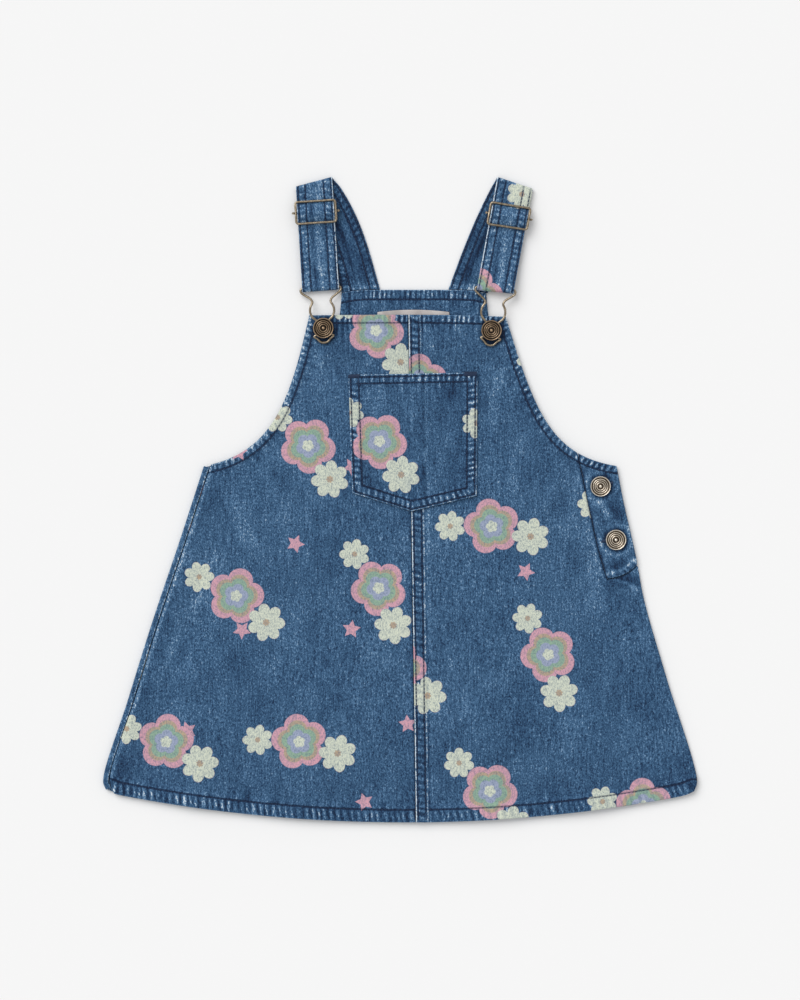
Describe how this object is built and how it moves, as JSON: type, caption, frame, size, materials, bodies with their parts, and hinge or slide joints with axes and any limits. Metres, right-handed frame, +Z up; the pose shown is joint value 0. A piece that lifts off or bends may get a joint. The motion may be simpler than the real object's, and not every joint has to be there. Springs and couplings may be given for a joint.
{
  "type": "pinafore dress",
  "caption": "Child's denim pinafore dress laid flat, with patch pocket, side placket, and shoulder straps on wire sliders and buckles.",
  "frame": {"origin": "on the surface under the dress, in the middle of its width and length", "axes": "+Z up off the surface the dress lies on, +Y from the hem towards the straps, +X towards the wearer's left"},
  "size_m": [0.4926, 0.5354, 0.0097],
  "materials": {
    "denim": "washed blue denim twill, worn pale along its seams and edges",
    "label_cloth": "smooth woven label, plain",
    "antique_brass": "antique brass, darkened in its hollows",
    "bright_brass": "antique brass, rubbed brighter"
  },
  "bodies": {
    "root": {"back": "denim", "back_facing": "denim", "label": "label_cloth", "front_right": "denim", "front_left": "denim", "pocket": "denim", "side_placket": "denim", "strap_right": "denim", "strap_left": "denim", "slider_frame_right": "antique_brass", "slider_frame_left": "antique_brass", "slider_bar_right": "antique_brass", "slider_bar_left": "antique_brass", "buckle_right": "antique_brass", "buckle_left": "antique_brass", "bib_button_right": "antique_brass", "bib_button_left": "antique_brass", "side_button_upper": "bright_brass", "side_button_lower": "bright_brass"}
  },
  "joints": []
}
